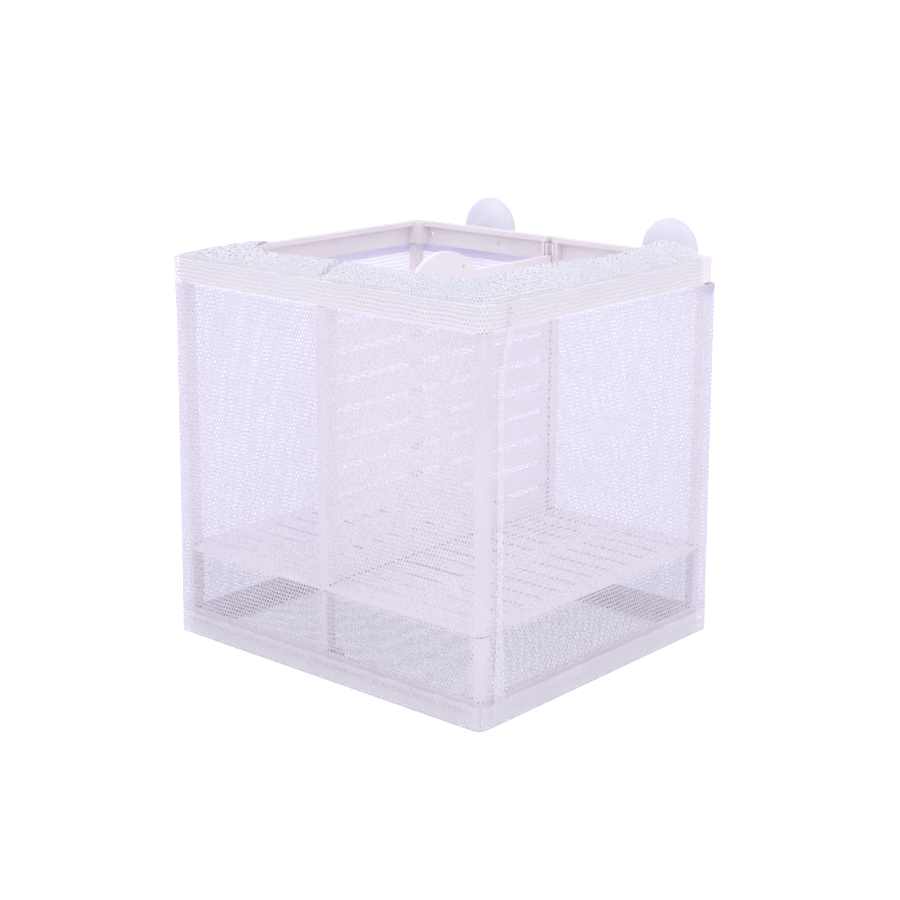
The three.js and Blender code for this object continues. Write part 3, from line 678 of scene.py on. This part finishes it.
# The gathers of the collar: ripples, tufts and swells in height, and strays along and across.
# They fade at the collar's ends, at the skirt and where the cloth turns under.
RIPPLES = Uneven(1.0, 70, 60)
RIPPLE_HEIGHT = 0.5 * MM
TUFTS = Uneven(0.7 * MM, 620, 520, seed=5)
SWELLS = Uneven(0.4 * MM, 38, line=0.7)
SLIDES = Uneven(0.5 * MM, 310, 130, seed=9)
STRAYS = Uneven(0.8 * MM, 55, line=3.3, seed=2)
SKIRT_FOLD = 0.12 * MM
SKIRT_FOLD_RUN = 1.3 * MM
SKIRT_FOLD_WANDER = 3
LOOSE_FADE = 3 * MM
END_FADE = 10 * MM


def on_section(run):
    """The shares of reach and rise and the level at a length along the section, rounded."""
    last = len(SECTION) - 1
    i = 0
    while i < last - 1 and SECTION_RUNS[i + 1] < run:
        i += 1
    share = clamped((run - SECTION_RUNS[i]) / (SECTION_RUNS[i + 1] - SECTION_RUNS[i]))
    before = SECTION[max(0, i - 1)]
    here = SECTION[i]
    there = SECTION[i + 1]
    after = SECTION[min(last, i + 2)]
    found = []
    for a, b, c, d in zip(before, here, there, after):
        bend = 2 * b + (c - a) * share + (2 * a - 5 * b + 4 * c - d) * share**2
        found.append((bend + (3 * b - a - 3 * c + d) * share**3) / 2)
    return found


def parted(x, y):
    """A place along the front, moved aside where the divider needs its way up between two lips."""
    if abs(x) > PARTED_REACH or y > CENTRE_Y:
        return x
    aside = COLLAR_PARTING / 2 * (1 - abs(x) / PARTED_REACH)
    return x + math.copysign(aside, x) * ease((y - PARTING_BEGINS) / PARTING_FADE)


def over_slit(face):
    """Whether a face of the collar lies across the slit that the divider comes up through."""
    places = [vertex.co for vertex in face.verts]
    back = max(place.y for place in places)
    across = min(place.x for place in places) < 0 < max(place.x for place in places)
    return across and SLIT_BEGINS < back < CENTRE_Y


def collar_layer(name, node, gather, pitch, thread, seed, starts, lower):
    """One layer of the collar: net gathered along the rim into small uneven folds. It starts at a
    length along the section and lies lower than the crest by some way."""
    cut = COLLAR_RUN * gather
    across_length = SECTION_LENGTH - starts
    bm = net_cut(cut, across_length, pitch, thread)
    for vertex in bm.verts:
        x, y = drifted(vertex.co.x, vertex.co.y, cut, across_length, seed)
        run = x / gather
        across = y + starts
        reach_share, rise_share, level = on_section(across)
        outer, out = skirt_place(run)
        inner = inner_place(run)
        way = (inner - outer).normalized()
        along = Vector((-out.y, out.x))
        loose = ease((across - TOP_BEGINS) / LOOSE_FADE) * ease(min(run, COLLAR_RUN - run) / END_FADE)
        above = 1 - ease((across - UNDER_BEGINS) / LOOSE_FADE)
        ripple = RIPPLES.at(run, across, seed)
        puff = RIPPLE_HEIGHT * ripple + TUFTS.at(run, across, seed) + SWELLS.at(run, seed=seed)
        slide = SLIDES.at(run, across, seed) * loose
        stray = STRAYS.at(run) * ease(reach_share) * loose
        fold = math.sin(run / SKIRT_FOLD_RUN + SKIRT_FOLD_WANDER * ripple)
        point = outer.lerp(inner, max(0.0, reach_share)) + way * stray + along * slide
        point += out * SKIRT_FOLD * fold * (1 - loose)
        rise = rise_share * along_collar(run)[1]
        height = RIM_TOP + level + rise + (puff - lower) * loose * above
        if across > TOP_BEGINS:
            height = max(height, LEAST_LEVEL)
        if point.y < CENTRE_Y:
            height += (CREASE_LEVEL - height) * ease(1 - abs(point.x) / CREASE_REACH) * loose
        vertex.co = (parted(point.x, point.y), point.y, height)
    slit = [face for face in bm.faces if over_slit(face)]
    bmesh.ops.delete(bm, geom=slit, context="FACES")
    piece = piece_from(bm, name, collar_thread_painted_light, node)
    thread_area(cut, across_length, pitch, thread)


collar_layer(
    "collar_outer_layer",
    "net_collar",
    gather=1.1,
    pitch=1.5 * MM,
    thread=0.68 * MM,
    seed=3.1,
    starts=0.0,
    lower=0.0,
)
collar_layer(
    "collar_inner_layer",
    None,
    gather=1.12,
    pitch=1.4 * MM,
    thread=0.95 * MM,
    seed=11.7,
    starts=TOP_BEGINS + 0.8 * MM,
    lower=0.5 * MM,
)


# Sewn edges
STITCH_LEVEL = (STITCH_LOW.z + STITCH_HIGH.z) / 2
STITCH_LENGTH = STITCH_HIGH.x - STITCH_LOW.x
STITCH_FACE = CENTRE_Y - NET_HALF_Y - FOOT_FLARE - 0.4 * MM
STITCH_SAG = Uneven(0.25 * MM, 60, line=0.1, seed=0.2)
STITCH_PITCH = 2.1 * MM
LOOP_WIDTH = 1.0 * MM
LOOP_THREAD = 0.28 * MM
LOOP_OVERLAP = 1.35
LOOP_STEPS = 9
LOOP_TIP = 0.28
LOOP_WANDER = Uneven(0.2, 1.7, line=0.5)
LOOP_LEAN = 0.25


def loop_link():
    """One loop of chain stitch: a stretched ring of thread, lying in the plane of X and Y."""
    bm = bmesh.new()
    upright = Matrix.Translation((LOOP_WIDTH / 2, 0, 0)) @ Matrix.Rotation(math.pi / 2, 4, "X")
    bmesh.ops.create_circle(bm, segments=5, radius=LOOP_THREAD / 2, matrix=upright)
    bmesh.ops.spin(
        bm,
        geom=bm.edges[:] + bm.verts[:],
        cent=(0, 0, 0),
        axis=(0, 0, 1),
        angle=2 * math.pi,
        steps=LOOP_STEPS,
        use_merge=True,
    )
    stretch = STITCH_PITCH * LOOP_OVERLAP / LOOP_WIDTH
    bmesh.ops.scale(bm, vec=(1, stretch, 1), verts=bm.verts)
    bmesh.ops.recalc_face_normals(bm, faces=bm.faces)
    return bm


def stitch_line():
    """The row of chain stitch along the front's foot, each loop tipped a little off the line."""
    count = round(STITCH_LENGTH / STITCH_PITCH)
    whole = bmesh.new()
    link = bpy.data.meshes.new("link")
    one = loop_link()
    one.to_mesh(link)
    one.free()
    upright = Matrix.Rotation(math.pi / 2, 4, "X") @ Matrix.Rotation(-math.pi / 2, 4, "Z")
    for i in range(count):
        start = len(whole.verts)
        whole.from_mesh(link)
        whole.verts.ensure_lookup_table()
        run = (i + 0.5) * STITCH_LENGTH / count
        middle = Vector((STITCH_LOW.x + run, STITCH_FACE, STITCH_LEVEL + STITCH_SAG.at(run)))
        tip = LOOP_TIP * (i % 2 * 2 - 1) + LOOP_WANDER.at(i)
        turn = Matrix.Rotation(tip, 4, "Z") @ Matrix.Rotation(LOOP_LEAN, 4, "X")
        place = Matrix.Translation(middle) @ upright @ turn
        bmesh.ops.transform(whole, matrix=place, verts=whole.verts[start:])
    bpy.data.meshes.remove(link)
    return piece_from(whole, "foot_stitch", seam_thread, "bottom_seam")


foot_stitch = stitch_line()

# Strips round the foot: a fold of net and the fuzzy edge above it. Low and high are how far up
# the bag a strip runs, slant is how far its rows lean and fuzz is how far its threads stray.
FOLD = {
    "low": 0.6 * MM,
    "high": 5.2 * MM,
    "pitch": 1.2 * MM,
    "slant": 0.7,
    "fuzz": 0.1 * MM,
    "thread": 0.62 * MM,
}
FUZZ = {
    "low": 5.2 * MM,
    "high": 10.4 * MM,
    "pitch": 1.1 * MM,
    "slant": 0.2,
    "fuzz": 0.3 * MM,
    "thread": 0.5 * MM,
}
BAND_OUT = 0.22 * MM
BAND_FADE = 4 * MM
BAND_ROUGH = Uneven(1.0, 800, 800)
BAND_ROUGH_SEEDS = 900
BAND_WAVES = Uneven(0.5 * MM, 260, 1)
BAND_WAVE_SEEDS = 700


def foot_band(name, side, low, high, pitch, slant, fuzz, thread):
    """A strip of folded net sewn round one side of the foot, just outside the bag."""
    bm = net_cut(side.length, high - low, pitch, thread)
    for vertex in bm.verts:
        x, y, _ = vertex.co
        within = clamped(min(x, side.length - x) / BAND_FADE)
        rough = BAND_ROUGH.shift(x, y, side.turn + low * BAND_ROUGH_SEEDS) * fuzz
        x += within * (slant * (y - (high - low) / 2) + rough.x)
        wave = BAND_WAVES.at(x, side.turn, low * BAND_WAVE_SEEDS)
        foot_in, level = rise_place(low + y + wave * y / (high - low))
        along, inward = side.place(x, foot_in)
        vertex.co = side.point(along, side.depth - inward + BAND_OUT + abs(rough.z), level)
    return piece_from(bm, name, seam_thread)


front_bands = [
    foot_band("front_foot_fold", FRONT_SIDE, **FOLD),
    foot_band("front_foot_fuzz", FRONT_SIDE, **FUZZ),
]
right_bands = [
    foot_band("right_foot_fold", RIGHT_SIDE, **FOLD),
    foot_band("right_foot_fuzz", RIGHT_SIDE, **FUZZ),
]

# The seam up the right side, which wanders, widens towards the foot and leans back near the rim
SEAM_Y = (SEAM_LOW.y + SEAM_HIGH.y) / 2
SEAM_TOP = RIM_TOP - 1.2 * MM
SEAM_PITCH = NET_PITCH * 0.75
SEAM_THREAD = 0.5 * MM
SEAM_TOP_WIDTH = 3.2 * MM
SEAM_FOOT_WIDTH = 6.2 * MM
SEAM_WIDENS_FROM = PLATE_TOP + 6 * MM
SEAM_LEAN = 5.5 * MM
SEAM_LEANS_FROM = 118 * MM
SEAM_OUT = 0.2 * MM
SEAM_SWELL = 0.25 * MM
SEAM_WANDER = Uneven(0.5 * MM, 22, line=0.4, seed=0.9)
SEAM_FUZZ = Uneven(0.5 * MM, 900, 700, seed=4)
SEAM_EDGE = Uneven(0.2, 190, line=2)


def seam_width(level):
    """The seam is narrow above the plate and widens towards the foot."""
    share = ease((SEAM_WIDENS_FROM - level) / (PLATE_TOP - FOOT_LOW.z))
    return SEAM_TOP_WIDTH + (SEAM_FOOT_WIDTH - SEAM_TOP_WIDTH) * share


def seam_place(level):
    """How far out the side lies under the seam, and where the middle of the seam is."""
    out = NET_HALF_X + rim_lift(level) + FOOT_FLARE * max(0.0, 1 - level / NET_TOP)
    lean = SEAM_LEAN * ease((level - SEAM_LEANS_FROM) / (RIM_TOP - SEAM_LEANS_FROM))
    return out, SEAM_Y + SEAM_WANDER.at(level) + lean


def side_seam():
    """The seam: a narrow strip of folded net, sewn flat against the side."""
    bm = net_cut(SEAM_FOOT_WIDTH, SEAM_TOP - SEAM_LOW.z, SEAM_PITCH, SEAM_THREAD)
    for vertex in bm.verts:
        level = SEAM_LOW.z + vertex.co.y
        share = 2 * vertex.co.x / SEAM_FOOT_WIDTH - 1
        fuzz = SEAM_FUZZ.shift(vertex.co.x, vertex.co.y)
        half = seam_width(level) / 2 * (1 + SEAM_EDGE.at(level))
        face, middle = seam_place(level)
        out = face + SEAM_OUT + SEAM_SWELL * (1 - share**2) + abs(fuzz.x)
        vertex.co = (out, middle + share * half + fuzz.y, level)
    return piece_from(bm, "side_seam_fold", seam_thread, "side_seam")


seam_fold = side_seam()

# The hem behind the collar's ends, a small roll of net under the rim
HEM_HEIGHT = HEM_HIGH.z - HEM_LOW.z
HEM_LEVEL = (HEM_LOW.z + HEM_HIGH.z) / 2
HEM_PITCH = NET_PITCH * 0.8
HEM_OUTSET = 0.2 * MM
HEM_CORNER = 1.5 * MM
HEM_CORNER_STEPS = 6
HEM_DEPTH = 0.24 * MM
HEM_BUMPS = Uneven(0.15, 300, 1, seed=1)


def hem_path():
    """The hem's line round the back, with round corners."""
    x = NET_HALF_X + HEM_OUTSET
    back = CENTRE_Y + NET_HALF_Y + HEM_OUTSET
    path = [Vector((x, COLLAR_RIGHT_END))]
    for side in (1, -1):
        middle = Vector(((x - HEM_CORNER) * side, back - HEM_CORNER))
        for i in range(HEM_CORNER_STEPS + 1):
            step = i if side > 0 else HEM_CORNER_STEPS - i
            angle = math.pi / 2 * step / HEM_CORNER_STEPS
            path.append(middle + Vector((math.cos(angle) * side, math.sin(angle))) * HEM_CORNER)
    return path + [Vector((-x, HEM_LOW.y))]


def along_path(path, run):
    """The point and the way along at a length along a line of short straight legs."""
    for here, there in zip(path, path[1:]):
        leg = (there - here).length
        if run <= leg or there == path[-1]:
            way = (there - here) / leg
            return here + way * run, way
        run -= leg


def rolled_hem():
    """The plain edge of the bag: net rolled into a flat roll."""
    path = hem_path()
    length = sum((there - here).length for here, there in zip(path, path[1:]))
    wrap = 2 * HEM_HEIGHT
    bm = net_cut(length, wrap, HEM_PITCH)
    for vertex in bm.verts:
        middle, way = along_path(path, vertex.co.x)
        angle = 2 * math.pi * vertex.co.y / wrap
        bumpy = 1 + HEM_BUMPS.at(vertex.co.x, angle)
        out = HEM_DEPTH * math.cos(angle) * bumpy
        rise = HEM_HEIGHT / 2 * math.sin(angle) * bumpy
        vertex.co = (middle.x + way.y * out, middle.y - way.x * out, HEM_LEVEL + rise)
    return piece_from(bm, "bag_hem", net_thread_painted_pink_light, "net_hem")


bag_hem = rolled_hem()

stretched_sheet(FRONT_SIDE)
stretched_sheet(RIGHT_SIDE)
stretched_sheet(BACK_SIDE, FAR_THREAD_WIDTH)
stretched_sheet(LEFT_SIDE, FAR_THREAD_WIDTH)


# Suction cups, turned about Y. Depths are measured from the glass.
CUP_EDGE = 1.6 * MM
CUP_LIP = 0.7 * MM
CUP_DISH = 2.2 * MM
CUP_DOME = 8.2 * MM
HUB_RADIUS = 4.2 * MM
HUB_END = 9 * MM
HUB_ROUND = 0.4 * MM
NECK_RADIUS = 1.7 * MM
NECK_END = HUB_END + 2.2 * MM
KNOB_RADIUS = 2.9 * MM
KNOB_BAND = 1 * MM
KNOB_ROUND = 0.5 * MM
EDGE_ROUND = 0.3 * MM
EDGE_SETBACK = 0.05 * MM
ARC_STEPS = 14
TURN_STEPS = 72


def cup_outline(radius, knob_end):
    """Half the cup's section as radii and depths, from its hollow over the dome to the knob."""
    arc = [i / ARC_STEPS * math.pi / 2 for i in range(ARC_STEPS + 1)]
    outline = [(angle / (math.pi / 2) * (radius - CUP_EDGE), CUP_DISH * math.cos(angle)) for angle in arc]
    outline += [(radius - EDGE_ROUND, EDGE_SETBACK), (radius, EDGE_ROUND)]
    for angle in arc:
        wide = HUB_RADIUS + (radius - HUB_RADIUS) * math.cos(angle)
        outline.append((wide, CUP_LIP + (CUP_DOME - CUP_LIP) * math.sin(angle)))
    return outline + [
        (HUB_RADIUS, HUB_END - HUB_ROUND),
        (HUB_RADIUS - HUB_ROUND, HUB_END),
        (NECK_RADIUS, HUB_END),
        (NECK_RADIUS, NECK_END),
        (KNOB_RADIUS - EDGE_ROUND, NECK_END),
        (KNOB_RADIUS, NECK_END + EDGE_ROUND),
        (KNOB_RADIUS, NECK_END + KNOB_BAND),
        (KNOB_RADIUS * 2 / 3, knob_end - KNOB_ROUND),
        (0, knob_end),
    ]


def turned_cup(name, node, body):
    """A domed cup with a thin lip, a neck and a knob, from a finely turned outline."""
    low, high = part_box(node)
    centre = (low + high) / 2
    glass = high.y
    outline = cup_outline((high.x - low.x) / 2, glass - low.y)
    bm = bmesh.new()
    corners = [bm.verts.new((centre.x + r, glass - depth, centre.z)) for r, depth in outline]
    edges = [bm.edges.new(pair) for pair in zip(corners, corners[1:])]
    bmesh.ops.spin(
        bm,
        geom=corners + edges,
        cent=(centre.x, glass, centre.z),
        axis=(0, 1, 0),
        angle=2 * math.pi,
        steps=TURN_STEPS,
        use_merge=True,
    )
    bmesh.ops.remove_doubles(bm, verts=bm.verts, dist=WELD_REACH)
    bmesh.ops.recalc_face_normals(bm, faces=bm.faces)
    piece_from(bm, name, cup_rubber, node, body)


turned_cup("left_suction_cup", "suction_cup_left", "cup_left")
turned_cup("right_suction_cup", "suction_cup_right", "cup_right")


# The moulded pieces keep their shapes and get softened edges and the plastic's finish
MOULDED = [
    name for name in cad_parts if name.endswith(("rim", "plate")) or "post" in name or "leg" in name
]
SOFTENED_FROM = math.radians(40)


def softened(name, material, width):
    """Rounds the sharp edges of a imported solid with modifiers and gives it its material."""
    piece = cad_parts[name]
    weld = piece.modifiers.new("weld", "WELD")
    weld.merge_threshold = WELD_REACH
    bevel = piece.modifiers.new("soft_edges", "BEVEL")
    bevel.width = width
    bevel.segments = 2
    bevel.limit_method = "ANGLE"
    bevel.angle_limit = SOFTENED_FROM
    bevel.use_clamp_overlap = True
    for slot in piece.material_slots:
        slot.material = material


for name in MOULDED:
    softened(name, frame_plastic, width=0.22 * MM)
softened("divider", divider_plastic, width=0.2 * MM)


# Stage: a pale floor, a soft studio and the camera of the photograph
FLOOR_LIFT = 0.55
WORLD_LIGHT = 0.97
WORLD_COLOUR = (0.97, 0.955, 1.0, 1.0)
LAMP_COLOUR = (1.0, 0.98, 0.98)
BLACK = (0, 0, 0, 1)
WHITE = (1, 1, 1, 1)


def stage_floor():
    """A matt floor that also glows a little towards the camera, to match the photo's plain white."""
    bm = bmesh.new()
    bmesh.ops.create_grid(bm, x_segments=1, y_segments=1, size=30.0)
    mesh = bpy.data.meshes.new("floor")
    bm.to_mesh(mesh)
    bm.free()
    finish = new_material("pale_floor")
    paper = finish.cloud(scale=30.0)
    colour = finish.blend(paper, linear(250, 250, 252), linear(247, 247, 250))
    skin = {"Base Color": colour, "Roughness": 0.9, "Specular IOR Level": 0.0}
    matt = finish.node("ShaderNodeBsdfPrincipled", None, skin)
    glow = finish.node("ShaderNodeEmission", None, {"Color": WHITE, "Strength": FLOOR_LIFT})
    rays = "ShaderNodeLightPath"
    seen = finish.node(rays, output="Is Camera Ray")
    seen = seen.at_least(finish.node(rays, output="Is Glossy Ray"))
    seen = seen.at_least(finish.node(rays, output="Is Transmission Ray"))
    dark = finish.node("ShaderNodeEmission", None, {"Color": BLACK, "Strength": 0.0})
    lift = finish.node("ShaderNodeMixShader", None, {0: seen, 1: dark, 2: glow})
    mesh.materials.append(finish.surface(finish.node("ShaderNodeAddShader", None, {0: matt, 1: lift})))
    floor = bpy.data.objects.new("floor", mesh)
    bpy.context.scene.collection.objects.link(floor)


def soft_lamp(name, azimuth, elevation, distance, size, power):
    """A square soft box aimed at the middle of the box, from angles in degrees."""
    lamp = bpy.data.lights.new(name, "AREA")
    lamp.shape = "SQUARE"
    lamp.size = size
    lamp.energy = power
    lamp.color = LAMP_COLOUR
    holder = bpy.data.objects.new(name, lamp)
    bpy.context.scene.collection.objects.link(holder)
    turn, rise = math.radians(azimuth), math.radians(elevation)
    away = Vector((math.sin(turn) * math.cos(rise), -math.cos(turn) * math.cos(rise), math.sin(rise)))
    aim = Vector((0, 0, RIM_TOP / 2))
    holder.location = aim + away * distance
    holder.rotation_euler = away.to_track_quat("Z", "Y").to_euler()


def studio_world():
    """Even pale light from all round, which the camera sees as plain white."""
    world = bpy.data.worlds.new("studio")
    bpy.context.scene.world = world
    finish = Finish(world)
    rays = "ShaderNodeLightPath"
    seen = finish.node(rays, output="Is Camera Ray")
    seen = seen.at_least(finish.node(rays, output="Is Transmission Ray"))
    pale = {"Color": WORLD_COLOUR, "Strength": WORLD_LIGHT}
    soft = finish.node("ShaderNodeBackground", None, pale)
    white = finish.node("ShaderNodeBackground", None, {"Color": WHITE, "Strength": 1.0})
    either = finish.node("ShaderNodeMixShader", None, {0: seen, 1: soft, 2: white})
    finish.node("ShaderNodeOutputWorld", None, {"Surface": either})


stage_floor()
soft_lamp("key", azimuth=5, elevation=45, distance=1.6, size=1.2, power=1.7)
soft_lamp("fill", azimuth=95, elevation=35, distance=1.6, size=1.2, power=0.8)
soft_lamp("top", azimuth=200, elevation=75, distance=1.5, size=1.4, power=1.5)
studio_world()

# Camera, worked out from the corners of the rims in the 900 pixel frame
CAMERA_AZIMUTH = math.radians(40.90)
CAMERA_ELEVATION = math.radians(14.964)
CAMERA_ROLL = math.radians(0.277)
CAMERA_DISTANCE = 721.964 * MM
CAMERA_FOCUS_PIXELS = 1867.012
FRAME_PIXELS = 900
SENSOR_WIDTH = 36
CLIP_START = 10 * MM
AIM_ACROSS = -1.775 * MM
AIM_UP = 0.683 * MM


def photo_camera():
    """The camera of the photograph, which looks at the box from its front right."""
    camera = bpy.data.cameras.new("camera")
    camera.sensor_width = SENSOR_WIDTH
    camera.lens = CAMERA_FOCUS_PIXELS * SENSOR_WIDTH / FRAME_PIXELS
    camera.clip_start = CLIP_START
    holder = bpy.data.objects.new("camera", camera)
    bpy.context.scene.collection.objects.link(holder)
    back = Vector(
        (
            math.sin(CAMERA_AZIMUTH) * math.cos(CAMERA_ELEVATION),
            -math.cos(CAMERA_AZIMUTH) * math.cos(CAMERA_ELEVATION),
            math.sin(CAMERA_ELEVATION),
        )
    )
    level = Vector((math.cos(CAMERA_AZIMUTH), math.sin(CAMERA_AZIMUTH), 0))
    upright = back.cross(level)
    across = level * math.cos(CAMERA_ROLL) + upright * math.sin(CAMERA_ROLL)
    up = upright * math.cos(CAMERA_ROLL) - level * math.sin(CAMERA_ROLL)
    aim = Vector((0, CENTRE_Y, RIM_TOP / 2))
    eye = aim + back * CAMERA_DISTANCE - across * AIM_ACROSS - up * AIM_UP
    turned = Matrix((across, up, back)).transposed().to_4x4()
    holder.matrix_world = Matrix.Translation(eye) @ turned
    return holder


bpy.context.scene.camera = photo_camera()
bpy.context.scene.view_settings.view_transform = "Standard"
